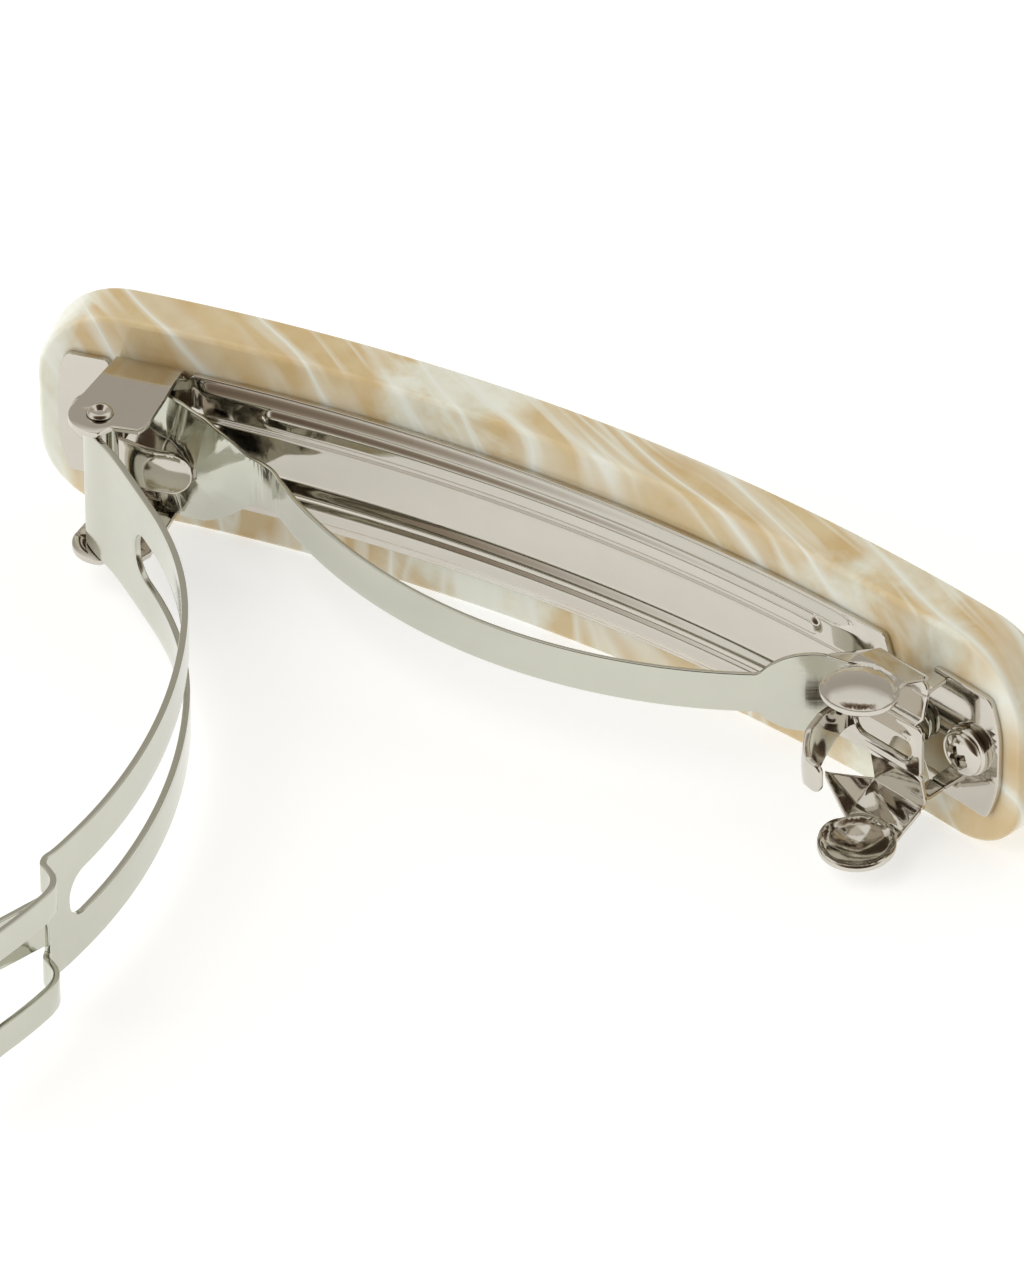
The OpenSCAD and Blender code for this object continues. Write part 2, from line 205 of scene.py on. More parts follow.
def flat_sheet(loops, t, edge, cuts=(), cross_cuts=(), steps=3):
    """A flat sheet t thick in u, v and n, with rounded edges. The first loop is its outline and the
    others are holes; cuts and cross_cuts are where its faces are divided along u and v."""
    bm = bmesh.new()
    for side in (1, -1):
        inner = []
        for k, loop in enumerate(loops):
            wound = loop if (area(loop) > 0) == (k == 0) else loop[::-1]
            rings = []
            for i in range(steps + 1):
                lift = math.pi / 2 * i / steps
                p = inset(wound, edge * (1 - math.cos(lift)))
                n = side * (t / 2 - edge + edge * math.sin(lift))
                rings.append([bm.verts.new((x, y, n)) for x, y in p])
            rings.insert(0, [bm.verts.new((x, y, 0)) for x, y in wound])
            count = len(wound)
            for low, high in zip(rings, rings[1:]):
                for j in range(count):
                    bm.faces.new((low[j], low[(j + 1) % count], high[(j + 1) % count], high[j]))
            inner.append(rings[-1])
        edges = [bm.edges.get((ring[j], ring[(j + 1) % len(ring)]))
                 for ring in inner for j in range(len(ring))]
        bmesh.ops.triangle_fill(bm, use_beauty=True, use_dissolve=False, edges=edges)
    bmesh.ops.remove_doubles(bm, verts=bm.verts[:], dist=1e-5)
    for axis, places in ((1, cross_cuts), (0, cuts)):
        for c in places:
            spot = Vector((c, 0, 0)) if axis == 0 else Vector((0, c, 0))
            normal = Vector((1, 0, 0)) if axis == 0 else Vector((0, 1, 0))
            bmesh.ops.bisect_plane(bm, geom=bm.verts[:] + bm.edges[:] + bm.faces[:], dist=1e-5,
                                   plane_co=spot, plane_no=normal)
    return bm


def bent(bm, bend):
    """Moves every point of a flat sheet to where bend(u, v, n) puts it."""
    co = np.array([v.co for v in bm.verts], float)
    for v, p in zip(bm.verts, bend(co[:, 0], co[:, 1], co[:, 2])):
        v.co = p
    return bm


def joined(*parts):
    """One bmesh that holds them all."""
    whole = parts[0]
    for part in parts[1:]:
        mesh = bpy.data.meshes.new("part")
        part.to_mesh(mesh)
        whole.from_mesh(mesh)
        part.free()
        bpy.data.meshes.remove(mesh)
    return whole


def turned(profile, centre, axis, across, steps=64):
    """A solid of revolution: profile is [(radius, along)], and along runs from centre on axis."""
    bm = bmesh.new()
    axis, across = Vector(axis).normalized(), Vector(across).normalized()
    third = axis.cross(across)
    rings = []
    for r, h in profile:
        spot = Vector(centre) + axis * h
        if r < 1e-6:
            rings.append([bm.verts.new(spot)])
            continue
        rings.append([bm.verts.new(spot + (across * math.cos(a) + third * math.sin(a)) * r)
                      for a in np.linspace(0, 2 * math.pi, steps, endpoint=False)])
    for low, high in zip(rings, rings[1:]):
        for j in range(steps):
            k = (j + 1) % steps
            ring = [low[0]] if len(low) == 1 else [low[j], low[k]]
            ring += [high[0]] if len(high) == 1 else [high[k], high[j]]
            bm.faces.new(ring)
    return bm


def add_piece(name, bm, material, body, *replaced, sharp_deg=40, cutter=None):
    """Makes the piece, in metres, and says what it rides on and stands for."""
    bmesh.ops.recalc_face_normals(bm, faces=bm.faces[:])
    for v in bm.verts:
        v.co *= MM
    mesh = bpy.data.meshes.new(name)
    bm.to_mesh(mesh)
    bm.free()
    piece = bpy.data.objects.new(name, mesh)
    bpy.context.scene.collection.objects.link(piece)
    for polygon in mesh.polygons:
        polygon.use_smooth = True
    mesh.set_sharp_from_angle(angle=math.radians(sharp_deg))
    weigh = piece.modifiers.new("even_normals", "WEIGHTED_NORMAL")
    weigh.keep_sharp = True
    weigh.weight = 80
    mesh.materials.append(material)
    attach(piece, body)
    if replaced:
        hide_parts(*replaced)
    return piece


# ---- Materials ---------------------------------------------------------------

class Nodes:
    """Short ways to make and join the nodes of one material."""

    def __init__(self, name):
        self.material = bpy.data.materials.new(name)
        self.material.use_nodes = True
        self.tree = self.material.node_tree
        self.shader = self.tree.nodes["Principled BSDF"]
        self.place = self.add("ShaderNodeTexCoord").outputs["Object"]

    def add(self, kind, **settings):
        node = self.tree.nodes.new(kind)
        for key, value in settings.items():
            setattr(node, key, value)
        return node

    def join(self, source, target):
        self.tree.links.new(source, target)

    def mapped(self, scale, turn=(0, 0, 0), shift=(0, 0, 0)):
        node = self.add("ShaderNodeMapping")
        node.inputs["Scale"].default_value = scale
        node.inputs["Rotation"].default_value = [math.radians(a) for a in turn]
        node.inputs["Location"].default_value = shift
        self.join(self.place, node.inputs["Vector"])
        return node.outputs["Vector"]

    def noise(self, vector, scale, detail=2.0, roughness=0.5, distortion=0.0):
        node = self.add("ShaderNodeTexNoise")
        node.inputs["Scale"].default_value = scale
        node.inputs["Detail"].default_value = detail
        node.inputs["Roughness"].default_value = roughness
        node.inputs["Distortion"].default_value = distortion
        self.join(vector, node.inputs["Vector"])
        return node.outputs["Fac"]

    def ramp(self, value, stops):
        node = self.add("ShaderNodeValToRGB")
        elements = node.color_ramp.elements
        while len(elements) < len(stops):
            elements.new(0.5)
        for element, (position, colour) in zip(elements, stops):
            element.position = position
            element.color = (*colour, 1) if hasattr(colour, "__len__") else (colour,) * 3 + (1,)
        self.join(value, node.inputs["Fac"])
        return node.outputs["Color"]

    def mix(self, share, a, b):
        node = self.add("ShaderNodeMix", data_type="RGBA")
        for value, socket in ((share, node.inputs[0]), (a, node.inputs[6]), (b, node.inputs[7])):
            if hasattr(value, "is_output"):
                self.join(value, socket)
            elif hasattr(value, "__len__"):
                socket.default_value = (*value, 1)
            else:
                socket.default_value = value
        return node.outputs[2]

    def bump(self, height, strength, distance):
        node = self.add("ShaderNodeBump")
        node.inputs["Strength"].default_value = strength
        node.inputs["Distance"].default_value = distance
        self.join(height, node.inputs["Height"])
        self.join(node.outputs["Normal"], self.shader.inputs["Normal"])

    def set(self, **values):
        for key, value in values.items():
            self.shader.inputs[key.replace("_", " ")].default_value = value


SHEET_WAYS = ((0.42, 0.89, 0.17), (0.90, -0.43, 0.02), (0.08, 0.15, -0.98))


def acetate():
    """Polished acetate: caramel with ivory ends and patches, crossed by long whitish veins."""
    n = Nodes("acetate")
    warp = n.add("ShaderNodeTexNoise")
    warp.inputs["Scale"].default_value = 38
    warp.inputs["Detail"].default_value = 1
    n.join(n.place, warp.inputs["Vector"])
    bend = n.add("ShaderNodeVectorMath", operation="MULTIPLY_ADD")
    n.join(warp.outputs["Color"], bend.inputs[0])
    bend.inputs[1].default_value = (0.010, 0.005, 0.006)
    n.join(n.place, bend.inputs[2])

    def sheets(scales, shift, detail=2.0):
        """Noise drawn out into thin slanting sheets, as in blocks of stacked acetate."""
        stretched = n.add("ShaderNodeCombineXYZ")
        for socket, scale, way in zip(stretched.inputs, scales, SHEET_WAYS):
            dot = n.add("ShaderNodeVectorMath", operation="DOT_PRODUCT")
            n.join(bend.outputs["Vector"], dot.inputs[0])
            dot.inputs[1].default_value = [scale * w for w in way]
            n.join(dot.outputs["Value"], socket)
        moved = n.add("ShaderNodeVectorMath", operation="ADD")
        n.join(stretched.outputs["Vector"], moved.inputs[0])
        moved.inputs[1].default_value = shift
        return n.noise(moved.outputs["Vector"], 1.0, detail, 0.45)

    present = n.ramp(n.noise(n.mapped((75, 75, 75), shift=(3, 1, 5)), 1.0, 1), [(0.40, 0), (0.58, 1)])
    broad = n.ramp(sheets((330, 34, 44), (0.3, 1.1, 4.2), 1.0),
                   [(0.36, 0), (0.45, 0.28), (0.495, 0.95), (0.525, 0.42), (0.60, 0)])
    fine = n.mix(present, (0, 0, 0), n.ramp(sheets((640, 40, 60), (7.3, 5.2, 1.7), 1.0),
                                             [(0.43, 0), (0.495, 0.7), (0.56, 0)]))

    split = n.add("ShaderNodeSeparateXYZ")
    n.join(n.place, split.inputs["Vector"])
    along = n.add("ShaderNodeMapRange")
    along.inputs["From Min"].default_value = -0.045
    along.inputs["From Max"].default_value = 0.045
    n.join(split.outputs["X"], along.inputs["Value"])
    more = n.ramp(along.outputs["Result"],
                  [(0.0, 0.62), (0.045, 0.5), (0.085, 0.02), (0.30, 0.0), (0.35, 0.33),
                   (0.46, 0.30), (0.52, 0.0), (0.72, 0.0), (0.79, 0.28), (0.89, 0.30),
                   (0.94, 0.05), (1.0, 0.2)])
    cloud = n.noise(n.mapped((130, 130, 130), shift=(4, 2, 7)), 1.0, 4, 0.6, 0.5)
    sum_up = n.add("ShaderNodeMath", operation="ADD")
    n.join(more, sum_up.inputs[0])
    n.join(cloud, sum_up.inputs[1])
    patches = n.ramp(sum_up.outputs[0], [(0.68, 0), (0.86, 1)])

    soft = n.noise(n.mapped((260, 260, 260), shift=(1, 5, 3)), 1.0, 4, 0.55, 0.3)
    caramel = n.mix(n.ramp(soft, [(0.3, 0), (0.7, 1)]), (0.65, 0.47, 0.23), (0.73, 0.60, 0.36))
    ivory = n.mix(n.ramp(soft, [(0.35, 0), (0.65, 1)]), (0.74, 0.72, 0.58), (0.88, 0.89, 0.78))
    milk = (0.88, 0.90, 0.82)
    colour = n.mix(patches, caramel, ivory)
    colour = n.mix(broad, colour, milk)
    colour = n.mix(fine, colour, milk)
    n.join(colour, n.shader.inputs["Base Color"])
    n.join(n.ramp(soft, [(0.2, 0.17), (0.9, 0.24)]), n.shader.inputs["Roughness"])
    n.set(IOR=1.49, Coat_Weight=0.3, Coat_Roughness=0.1, Subsurface_Weight=0.15,
          Subsurface_Scale=0.0012, Subsurface_Radius=(1.0, 0.9, 0.7))
    n.bump(n.noise(n.mapped((500, 500, 500)), 1.0, 2), 0.1, 0.00002)
    return n.material


def nickel(name, roughness=0.07, tint=(0.65, 0.615, 0.555)):
    """Bright nickel plate with faint polishing lines and a slight orange peel."""
    n = Nodes(name)
    peel = n.noise(n.mapped((420, 420, 420)), 1.0, 3, 0.55)
    lines = n.noise(n.mapped((160, 160, 5200)), 1.0, 2, 0.6)
    n.join(n.mix(peel, tuple(0.94 * c for c in tint), tint), n.shader.inputs["Base Color"])
    rough = n.ramp(lines, [(0.3, roughness * 0.75), (0.75, roughness * 1.5)])
    n.join(rough, n.shader.inputs["Roughness"])
    n.set(Metallic=1.0)
    n.bump(peel, 0.08, 0.00006)
    return n.material


ACETATE = acetate()
NICKEL = nickel("nickel")
SPRING = nickel("spring_nickel", 0.12, (0.60, 0.60, 0.525))


# ---- Pieces ------------------------------------------------------------------

def make_body():
    """The arched body: a flat slab with rounded edges, wrapped round the back's arc."""
    half, w = BODY_LEN / 2, BODY_W / 2
    outline = box_outline(-half, half, -w, w, 6.2, 16)
    bm = flat_sheet([outline], BODY_T, 0.42, cuts=np.arange(-41.3, 41.4, 1.0), steps=6)
    bent(bm, lambda u, v, n: on_arc(u, BODY_T / 2 + n, v))
    add_piece("acetate_body", bm, ACETATE, "base", "body")


def step_up(x, at, width):
    """0 before at, 1 after it, with a smooth change that is width long."""
    f = np.clip((x - at) / width + 0.5, 0, 1)
    return f * f * (3 - 2 * f)


def plate_relief(s, z):
    """How far the pressed plate stands up from its flat level."""
    a = np.abs(z)
    along = step_up(s, -29.6, 1.6) * (1 - step_up(s, 26.6, 3.4))
    band = 0.55 * along * step_up(a, 2.25, 1.15) * (1 - 0.92 * step_up(a, 5.15, 1.25))
    inside = np.hypot(np.maximum(np.abs(s + 0.15) - 23.3, 0), a - 3.75)
    bead = 0.3 * (1 - step_up(inside, 0.66, 0.5))
    return band + bead


def make_base_plate():
    """The stamped plate with its raised bands and beads, its two ears and its keeper tongue."""
    h, neck, pad = PLATE_W / 2, 2.75, 5.4
    end = PLATE_HALF
    corners = [(-end + 0.6, -pad), (-36.9, -pad), (-36.3, -pad + 0.9), (-30.6, -h + 0.6), (-30.0, -h),
               (29.4, -h), (30.6, -neck), (33.2, -neck), (34.2, -pad), (end - 1.0, -pad)]
    radii = [0.8, 0.4, 0.4, 0.3, 0.3, 0.5, 0.8, 0.8, 0.5, 0.8]
    right_cap, left_cap = [(end, -2.6), (end, 2.6)], [(-end, 2.6), (-end, -2.6)]
    upper = [(s, -z) for s, z in corners[::-1]]
    outline = rounded_corners(corners + right_cap + upper + left_cap,
                              radii + [9, 9] + radii[::-1] + [9, 9], 6)
    holes = [circle(s, 0, 0.95) for s in (-SCREW_S, SCREW_S)]
    across = list(np.r_[np.arange(0.95, 2.0, 0.13), np.arange(2.0, 3.2, 0.11),
                        np.arange(3.2, 5.0, 0.12), np.arange(5.03, 5.68, 0.11)])
    cuts = np.r_[np.arange(-39.93, -31, 0.8), np.arange(-30.9, -28, 0.17),
                 np.arange(-27.93, -24.3, 0.6), np.arange(-24.2, -22.2, 0.13),
                 np.arange(-22.03, 22.4, 0.8), np.arange(22.43, 24.4, 0.13),
                 np.arange(24.53, 28.6, 0.3), np.arange(28.73, 40, 0.8)]
    bm = flat_sheet([outline] + holes, SHEET, 0.1, cuts, [-c for c in across] + across, steps=2)
    bent(bm, lambda u, v, n: on_arc(u, -SHEET / 2 - plate_relief(u, v) - n - 0.01, v))
    add_piece("stamped_base_plate", joined(bm, ear(1), ear(-1), keeper()), NICKEL, "base", "base_plate")


def ear(side):
    """An ear: it leaves the plate's side, turns up through a bend and ends in a lobe round the pin."""
    foot = 4.7
    bend_r = 0.75
    level = -SHEET / 2 - GAP
    line = Line([(foot, level), (foot + 0.5, level)]
                + arc_points((EAR_Z - bend_r, level - bend_r), bend_r, 90, 0, 9)
                + [(EAR_Z, level - 2), (EAR_Z, -14)])
    rise = line.where(-PIN_H, 1)
    low = line.where(level - bend_r, 1)
    lobe = arc_points((0, rise), 2.35, 182, 74, 22)
    rest = [(1.4, rise + 1.15), (3.35, rise + 0.98), (3.75, rise + 0.2),
            (3.9, low + 0.3), (4.0, 0), (-1.5, 0), (-1.35, low)]
    eye = circle(0, rise, 0.8)
    bm = flat_sheet([lobe + rest, eye], SHEET, 0.09, (), np.arange(0.13, low + 0.3, 0.12), steps=2)

    def bend(u, v, n):
        p = line.at(v, n)
        return beside(-PIN_S, u, p[:, 1], side * p[:, 0])
    return bent(bm, bend)


def keeper():
    """The cupped tongue that stands up beside the hinge and lines up the bar's fork."""
    line = Line([(-1.5, -0.4), (-1.25, -0.7), (-1.15, -1.7), (-0.95, -3.3), (-0.35, -4.35),
                 (0.8, -4.8), (2.6, -4.95), (4.4, -4.85), (6.0, -4.55)])
    outline = box_outline(0.2, line.length, -1.85, 1.85, [0.3, 1.8, 1.8, 0.3], 12)
    bm = flat_sheet([outline], SHEET, 0.12, np.arange(0.4, line.length, 0.35),
                    np.arange(-1.4, 1.5, 0.35))

    def bend(u, v, n):
        from_tip = np.hypot(np.maximum(u - line.length + 1.85, 0), v)
        cup = 0.34 * (from_tip / 1.85) ** 2 * step_up(u, line.length - 4, 2.5)
        p = line.at(u, n - cup)
        return beside(-PIN_S, p[:, 0], p[:, 1], v)
    return bent(bm, bend)


def make_screws():
    """Two pan-head screws with cross recesses."""
    parts = []
    for side in (-1, 1):
        turn = side * SCREW_S / BACK_R
        out = np.array((-math.sin(turn), -math.cos(turn), 0))
        along = (math.cos(turn), -math.sin(turn), 0)
        base = on_arc(side * SCREW_S, -SHEET - GAP, 0)
        dome = [(1.78 * math.sin(a), 0.72 + 0.62 * math.cos(a))
                for a in np.radians(np.linspace(0, 86, 14))]
        flange = [(1.8, 0.6), (1.72, 0.52), (1.8, 0.45), (1.92, 0.4), (1.95, 0.32), (1.95, 0.08),
                  (1.88, 0.0)]
        profile = dome + flange + [(0.8, 0.0), (0.8, -2.7), (0.25, -3.4), (0, -3.4)]
        parts.append((turned(profile, base, out, along), base, out, along))
    cutters = bmesh.new()
    for _, base, out, along in parts:
        side = np.cross(out, along)
        for turn in (20, 110):
            a = math.radians(turn)
            run = math.cos(a) * np.array(along) + math.sin(a) * side
            wide = np.cross(out, run)
            spots = []
            for h, scale in ((0.6, 0.5), (1.6, 1.1)):
                for x, y in ((-1, -1), (1, -1), (1, 1), (-1, 1)):
                    spots.append(cutters.verts.new(base + out * h + run * x * scale
                                                   + wide * y * 0.24))
            for quad in ((0, 1, 2, 3), (4, 5, 6, 7), (0, 1, 5, 4), (1, 2, 6, 5), (2, 3, 7, 6),
                         (3, 0, 4, 7)):
                cutters.faces.new([spots[k] for k in quad])
    bmesh.ops.recalc_face_normals(cutters, faces=cutters.faces[:])
    piece = add_piece("screws", joined(*[p[0] for p in parts]), NICKEL, "base", "screws", sharp_deg=50)
    cut_out(piece, cutters)


def cut_out(piece, cutters):
    """Cuts the solids in a bmesh of millimetres out of the piece, for good."""
    for v in cutters.verts:
        v.co *= MM
    mesh = bpy.data.meshes.new("cutter")
    cutters.to_mesh(mesh)
    cutters.free()
    tool = bpy.data.objects.new("cutter", mesh)
    bpy.context.scene.collection.objects.link(tool)
    weigh = piece.modifiers["even_normals"]
    piece.modifiers.remove(weigh)
    cut = piece.modifiers.new("recess", "BOOLEAN")
    cut.operation = "DIFFERENCE"
    cut.object = tool
    cut.use_self = True
    deps = bpy.context.evaluated_depsgraph_get()
    result = bpy.data.meshes.new_from_object(piece.evaluated_get(deps))
    piece.modifiers.clear()
    piece.data = result
    for polygon in result.polygons:
        polygon.use_smooth = True
    result.set_sharp_from_angle(angle=math.radians(40))
    bpy.data.objects.remove(tool)


def make_pin():
    """The hinge pin, with a riveted head at each end that is dished in the middle."""
    reach = 6.2
    half = [(0, reach - 0.05), (0.34, reach - 0.02), (0.46, reach + 0.1), (0.56, reach + 0.27),
            (0.68, reach + 0.32), (0.84, reach + 0.27), (0.98, reach + 0.1), (0.98, reach),
            (0.75, reach)]
    profile = half + [(0.75, 0)] + [(r, -h) for r, h in half[::-1]]
    add_piece("hinge_pin", turned(profile, pin, (0, 0, 1), (1, 0, 0), 48), NICKEL,
              "base", "hinge_pin")


def arm_line():
    """The arm's middle line from the roll round the pin to the ring's end."""
    rise, run = 29.5, 13.1
    top, fall, r1, r2 = 8.0, -27.0, 30.3, 46.4
    knee = run * np.array((math.cos(math.radians(rise)), math.sin(math.radians(rise))))
    c1 = knee + r1 * np.array((math.sin(math.radians(rise)), -math.cos(math.radians(rise))))
    crest = c1 + r1 * np.array((-math.sin(math.radians(top)), math.cos(math.radians(top))))
    c2 = crest + r2 * np.array((math.sin(math.radians(top)), -math.cos(math.radians(top))))
    neck = c2 + r2 * np.array((-math.sin(math.radians(fall)), math.cos(math.radians(fall))))
    roll = arc_points((0, 0), 1.05, -310, -58, 26)
    points = roll + [(4.0, 1.72), (8.0, 4.35)] + arc_points(c1, r1, 90 + rise, 90 + top, 8)
    points += arc_points(c2, r2, 90 + top, 90 + fall, 12)[1:]
    return points, neck


def make_arm():
    """The arm: one bent strip with its slot, its ring and the tongue lanced out of the ring."""
    points, neck = arm_line()
    rails = [(0.7, -0.42), (1.3, -0.45), (2.0, 0.05), (2.7, 0.5), (3.5, 0.62), (4.4, 0.42),
             (5.6, -0.12), (7.6, -1.2), (10, -2.6), (12.2, -3.6), (14.2, -4.3)]
    line = Line(points + [tuple(neck + np.array(step)) for step in rails])
    u_neck, u_ring = line.where(neck[0]), line.where(51.2)
    u_end = line.where(63.4)
    width, rail = 5.5, 3.0
    outline = rounded_corners([(0, -width), (u_end, -width), (u_end, width), (0, width)],
                              [0.2, 2.4, 2.4, 0.2], 10)
    slot = box_outline(line.where(7.4), line.where(48.3), -1.95, 1.95, 1.85, 10)
    u_bar = line.where(61.4)
    window = rounded_corners([(u_neck + 0.9, -rail - 0.1), (u_neck + 1.5, -rail), (u_bar, -rail),
                              (u_bar, rail), (u_neck + 1.5, rail), (u_neck + 0.9, rail + 0.1),
                              (u_neck + 0.9, 2.25), (u_ring - 0.4, 2.2), (u_ring - 0.4, -2.2),
                              (u_neck + 0.9, -2.25)],
                             [0.2, 0, 1.4, 1.4, 0, 0.2, 0.15, 0, 0, 0.15], 8)
    cuts = np.r_[np.arange(0.06, 8.0, 0.12), np.arange(8.07, u_neck - 1, 0.5),
                 np.arange(u_neck - 0.93, u_end, 0.16)]
    bm = flat_sheet([outline, slot, window], SHEET, 0.1, cuts)

    def bend(u, v, n):
        p = line.at(u, n)
        return from_pin(p[:, 0], p[:, 1], v)
    bent(bm, bend)
    tongue = Line([tuple(neck + np.array(step)) for step in
                   ((-1.6, 0.72), (-0.6, 0.3), (0.3, -0.15), (1.2, -0.75), (2.2, -1.6),
                    (3.2, -2.45), (4.3, -3.45), (5.3, -4.7), (6.2, -6.0))])
    shape = box_outline(1.5, tongue.length, -2.15, 2.15, [0.1, 1.6, 1.6, 0.1], 9)
    lug = flat_sheet([shape], SHEET, 0.1, np.arange(0.8, tongue.length, 0.2))

    def bend_tongue(u, v, n):
        p = tongue.at(u, n)
        return from_pin(p[:, 0], p[:, 1], v)
    bent(lug, bend_tongue)
    add_piece("arm", joined(bm, lug), SPRING, "arm", "arm")


def bar_line():
    """The bar's middle line: the fork's hump, a dip, the long bow and the round head."""
    top_x, r, left, right = 1.36, 40.0, 33.0, 34.0
    centre = np.array((top_x, -BODY_T / 2 - 12.75 + r))
    r_end = centre + r * np.array((math.sin(math.radians(right)), -math.cos(math.radians(right))))
    points = [(-32.7, -8.0), (-31.2, -8.7), (-28.5, -9.15), (-25.8, -8.85), (-23.9, -8.1),
              (-22.6, -7.65), (-21.5, -7.8)]
    points += arc_points(centre, r, 270 - left, 270 + right, 20)
    points += [tuple(r_end + np.array(p))
               for p in ((1.6, 1.05), (2.8, 1.65), (4.3, 1.85), (6.4, 1.62))]
    return Line(points + [(35, -6.95)])


def make_tension_bar():
    """The bowed bar, notched into a fork at one end and widened to a round head at the other."""
    line = bar_line()
    x = line.where
    w = 1.7
    fork = [(x(-32.6), -4.6), (x(-30.6), -5.3), (x(-29.0), -5.2), (x(-26.9), -4.7), (x(-24.9), -3.5),
            (x(-23.2), -2.0), (x(-20.5), -w)]
    head = [(x(24.3 - 3.5 * math.cos(a)), -3.5 * math.sin(a))
            for a in np.radians(np.linspace(26, 152, 20))]
    half = fork + [(x(21.0), -w)] + head[1:] + [(x(28.2), -1.5), (x(34.0), -1.5)]
    radii = [1.0, 1.0, 1.0, 3, 3, 3, 6, 0.4] + [0] * (len(head) - 1) + [0.8, 1.3]
    notch = [(x(-32.6), 2.05), (x(-29.3), 2.1), (x(-27.2), 0.4), (x(-27.2), -0.4),
             (x(-29.3), -2.1), (x(-32.6), -2.05)]
    outline = rounded_corners(half + [(u, -v) for u, v in half[::-1]] + notch,
                              radii + radii[::-1] + [1.3, 1.0, 0.35, 0.35, 1.0, 1.3], 7)
    bm = flat_sheet([outline], BAR_T, 0.08, np.arange(0.13, line.length, 0.4))

    def bend(u, v, n):
        p = line.at(u, n)
        arch = 0.034 * v**2 * (1 - step_up(p[:, 0], -23.2, 4.5))
        return np.stack([p[:, 0], p[:, 1] + arch, MID_Z + v], -1)
    bent(bm, bend)
    bar = add_piece("tension_bar", bm, SPRING, "base", "tension_bar")
    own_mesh(bar)


def in_catch(t, n, z):
    """The point t along the catch's own straight line, n out from the back and z from mid width."""
    return beside(CATCH_S, t, n, z)


def make_catch_web():
    """The catch's raised strip with its slot, and the floors that slope down to the two folds."""
    strip = box_outline(-4.3, 2.9, -2.2, 2.2, [0.3, 0.5, 0.5, 0.3])
    slot = box_outline(-3.3, 2.2, -0.95, 0.95, 0.9, 9)
    top = flat_sheet([strip, slot], SHEET, 0.12, np.arange(-4.1, 2.9, 0.17), np.arange(-2.07, 2.1, 0.15))

    def raised(u, v, n):
        from_slot = np.hypot(np.maximum(np.abs(u + 0.55) - 1.8, 0), v) - 0.95
        return in_catch(u, -WEB_H - n - 0.26 * np.exp(-(from_slot / 0.4) ** 2), v)
    bent(top, raised)
    parts = [top]
    floor_t = SHEET * 0.8
    for side in (1, -1):
        line = Line([(1.9, -WEB_H), (2.15, -3.28), (2.4, -3.16), (2.7, -3.02), (5.72, -2.37)])
        outline = rounded_corners([(0, -2.4), (line.length, -2.4), (line.length, 2.6), (0.9, 2.6),
                                   (0, 2.1)], [0, 0.1, 0.8, 0.3, 0])
        floor = flat_sheet([outline], floor_t, 0.1, np.arange(0.1, 1.2, 0.15))

        def bend(u, v, n, side=side, line=line):
            mark = 0.09 * np.exp(-(((v - 1.2) / 0.75) ** 2 + ((u - 2.5) / 0.42) ** 2) ** 2)
            p = line.at(u, n)
            return in_catch(v, p[:, 1] + mark, side * p[:, 0])
        parts.append(bent(floor, bend))
        post = Line([(4.5, -2.75), (4.85, -2.4), (4.95, -1.6), (4.95, -0.55)])
        leg = flat_sheet([box_outline(0, post.length, 1.2, 2.6, 0.2)], floor_t, 0.1,
                         np.arange(0.1, post.length, 0.2))
        parts.append(bent(leg, lambda u, v, n, side=side, post=post:
                          in_catch(v, post.at(u, n)[:, 1], side * post.at(u, n)[:, 0])))
    add_piece("catch_web", joined(*parts), NICKEL, "base", "catch_web")


def make_catch_hook():
    """The hook: a paddle that stands up from the web's end and curls over the ring."""
    root = np.array(joints["hook_tilt"]["pos_m"]) / MM
    line = Line([(0.35, 0.12), (0.1, -0.02), (0.02, -0.35), (0, -1.5), (0, -4.6), (0.12, -5.8),
                 (0.5, -6.75), (1.15, -7.5), (2.05, -7.95), (2.7, -8.05)])
    length = line.length
    half = [(0, -1.5), (1.6, -1.5), (4.3, -2.3), (6.4, -2.3), (7.6, -1.7), (8.4, -1.25), (length, -1.2)]
    outline = rounded_corners(half + [(u, -v) for u, v in half[::-1]],
                              [0.1, 1, 1.2, 1.2, 0.6, 0.8, 1.0, 1.0, 0.8, 0.6, 1.2, 1.2, 1, 0.1], 7)
    bm = flat_sheet([outline], SHEET, 0.14, np.arange(0.1, length, 0.16), np.arange(-1.95, 2, 0.3))

    def bend(u, v, n):
        cup = 0.22 * (v / 2.3) ** 2 * step_up(u, 3.5, 3)
        p = line.at(u, n + cup)
        return np.stack([root[0] + p[:, 0], root[1] + p[:, 1], root[2] + v], -1)
    bent(bm, bend)
    add_piece("catch_hook", bm, NICKEL, "hook", "catch_hook")


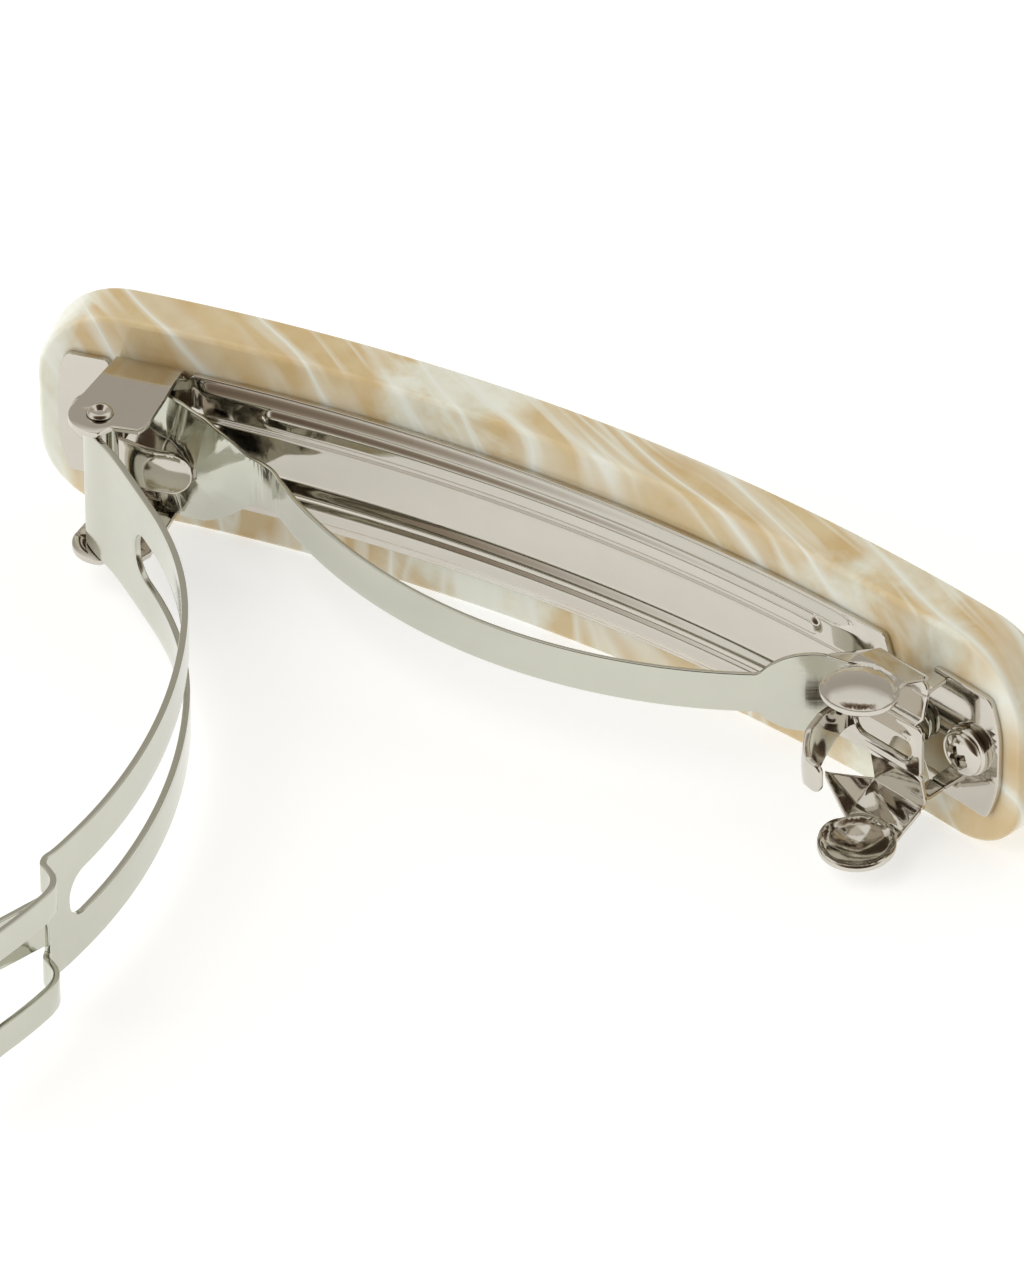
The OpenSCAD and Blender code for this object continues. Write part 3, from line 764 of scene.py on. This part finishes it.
def make_wing(side, name, body):
    """A wing: a creased neck that turns up at the fold and ends in a dished round thumb pad."""
    lean = math.radians(10)
    pad_t, pad_h, pad_r = 0.65, 5.4, 2.9
    ring = [(pad_t + pad_r * math.cos(a), pad_h + pad_r * math.sin(a))
            for a in np.radians(np.linspace(-48, 222, 44))]
    neck = [(-2.0, 3.75), (-4.95, 2.75), (-5.15, 2.5), (-4.9, 2.3), (-2.5, 0.0), (2.05, 0.0), (2.3, 0.4),
            (2.35, 2.3)]
    bm = flat_sheet([ring + neck], SHEET * 0.9, 0.12, np.arange(-5.3, 3.5, 0.21),
                    np.arange(0.13, 8.2, 0.21))

    def bend(u, v, n):
        from_pad = np.hypot(u - pad_t, v - pad_h)
        dish = 0.62 * np.clip(1 - (from_pad / (pad_r - 0.25)) ** 2, 0, 1)
        lip = -0.16 * np.exp(-((from_pad - pad_r + 0.2) / 0.22) ** 2)
        gusset = np.minimum((u + 2.5) * 0.99 - v * 0.13, 0)
        crease = (0.26 * np.clip(1 - np.abs(v - 1.5 - 0.28 * (u + 0.2)) / 0.75, 0, 1)
                  * step_up(2.5 - np.abs(u), 0.3, 0.8))
        fold = 0.55 * gusset + dish + lip - crease * 0.4
        flare = 0.26 * np.minimum(v, 2.4) - 0.12 * np.maximum(v - 2.4, 0)
        out = n + fold + flare
        up = -v * math.cos(lean)
        off = v * math.sin(lean) + out
        return in_catch(u, -FOLD_H + up, side * (EAR_Z + off))
    bent(bm, bend)
    roll = turned([(0.0, -2.5), (0.22, -2.5), (0.27, -2.4), (0.27, 2.1), (0.22, 2.2), (0, 2.2)],
                  in_catch(0, -FOLD_H, side * EAR_Z), in_catch(1, 0, 0) - in_catch(0, 0, 0),
                  (0, 0, 1), 24)
    add_piece(name, joined(bm, roll), NICKEL, body, name)


make_body()
make_base_plate()
make_screws()
make_pin()
make_arm()
make_tension_bar()
make_catch_web()
make_catch_hook()
make_wing(1, "catch_wing_upper", "wing_upper")
make_wing(-1, "catch_wing_lower", "wing_lower")


# ---- Stage, light and camera -------------------------------------------------

def make_stage():
    """The pale paper that the barrette stands on."""
    mesh = bpy.data.meshes.new("floor")
    size = 1.6
    mesh.from_pydata([(-size, -size, 0), (size, -size, 0), (size, size, 0), (-size, size, 0)], [],
                     [(0, 1, 2, 3)])
    floor = bpy.data.objects.new("floor", mesh)
    bpy.context.scene.collection.objects.link(floor)
    n = Nodes("pale_floor")
    paper = n.mix(n.noise(n.place, 3.0, 2), (0.525, 0.527, 0.52), (0.55, 0.552, 0.545))
    n.join(paper, n.shader.inputs["Base Color"])
    n.join(paper, n.shader.inputs["Emission Color"])
    n.set(Roughness=0.9, Emission_Strength=1.15, Specular_IOR_Level=0.1)
    mesh.materials.append(n.material)


def make_world(towards):
    """A pale studio that is dark and warm on the photographer's side."""
    world = bpy.data.worlds.new("studio")
    bpy.context.scene.world = world
    world.use_nodes = True
    tree = world.node_tree
    back = tree.nodes["Background"]
    place = tree.nodes.new("ShaderNodeTexCoord")
    facing = tree.nodes.new("ShaderNodeVectorMath")
    facing.operation = "DOT_PRODUCT"
    facing.inputs[1].default_value = towards * 0.5
    tree.links.new(place.outputs["Generated"], facing.inputs[0])
    half = tree.nodes.new("ShaderNodeMath")
    half.operation = "ADD"
    half.inputs[1].default_value = 0.5
    tree.links.new(facing.outputs["Value"], half.inputs[0])
    ramp = tree.nodes.new("ShaderNodeValToRGB")
    stops = [(0.0, (0.60, 0.58, 0.52)), (0.30, (0.50, 0.47, 0.42)), (0.42, (0.50, 0.47, 0.42)),
             (0.56, (0.90, 0.90, 0.86)), (0.76, (0.95, 0.95, 0.91)), (0.84, (0.34, 0.28, 0.22)),
             (0.90, (0.12, 0.085, 0.06)),
             (1.0, (0.06, 0.042, 0.03))]
    while len(ramp.color_ramp.elements) < len(stops):
        ramp.color_ramp.elements.new(0.5)
    for element, (position, colour) in zip(ramp.color_ramp.elements, stops):
        element.position = position
        element.color = (*colour, 1)
    tree.links.new(half.outputs["Value"], ramp.inputs["Fac"])
    tree.links.new(ramp.outputs["Color"], back.inputs["Color"])
    back.inputs["Strength"].default_value = 1.0


def soft_light(name, spot, aim, size, power):
    """A rectangular light that makes no reflection of its own."""
    data = bpy.data.lights.new(name, "AREA")
    data.shape = "RECTANGLE"
    data.size, data.size_y = size
    data.energy = power
    light = bpy.data.objects.new(name, data)
    light.location = spot
    light.visible_glossy = False
    light.rotation_euler = (Vector(aim) - Vector(spot)).to_track_quat("-Z", "Y").to_euler()
    bpy.context.scene.collection.objects.link(light)


def make_camera():
    """A long lens, 38 degrees up and 32 degrees round, aimed a little below the barrette."""
    azimuth, elevation, roll = (math.radians(a) for a in (31.9968, 38.2067, -0.174))
    away = Vector((math.sin(azimuth) * math.cos(elevation), -math.cos(azimuth) * math.cos(elevation),
                   math.sin(elevation)))
    right = Vector((math.cos(azimuth), math.sin(azimuth), 0))
    up = away.cross(right)
    distance, across, above = 0.88808, -0.003069, -0.007311
    centre = Vector((-0.00068, -0.0021, MID_Z * MM))
    spot = centre + away * distance + right * across + up * above
    side = right * math.cos(roll) + up * math.sin(roll)
    top = up * math.cos(roll) - right * math.sin(roll)
    data = bpy.data.cameras.new("camera")
    data.sensor_fit = "VERTICAL"
    data.sensor_height = 36
    data.lens = 342.13
    data.clip_start, data.clip_end = 0.05, 20
    camera = bpy.data.objects.new("camera", data)
    camera.matrix_world = Matrix.Translation(spot) @ Matrix((side, top, away)).transposed().to_4x4()
    bpy.context.scene.collection.objects.link(camera)
    bpy.context.scene.camera = camera
    return away


make_stage()
view_from = make_camera()
make_world(view_from)
soft_light("key", (-0.45, -0.8, 1.0), (0, -0.02, 0), (1.3, 1.3), 9.5)
bpy.context.scene.view_settings.view_transform = "Standard"
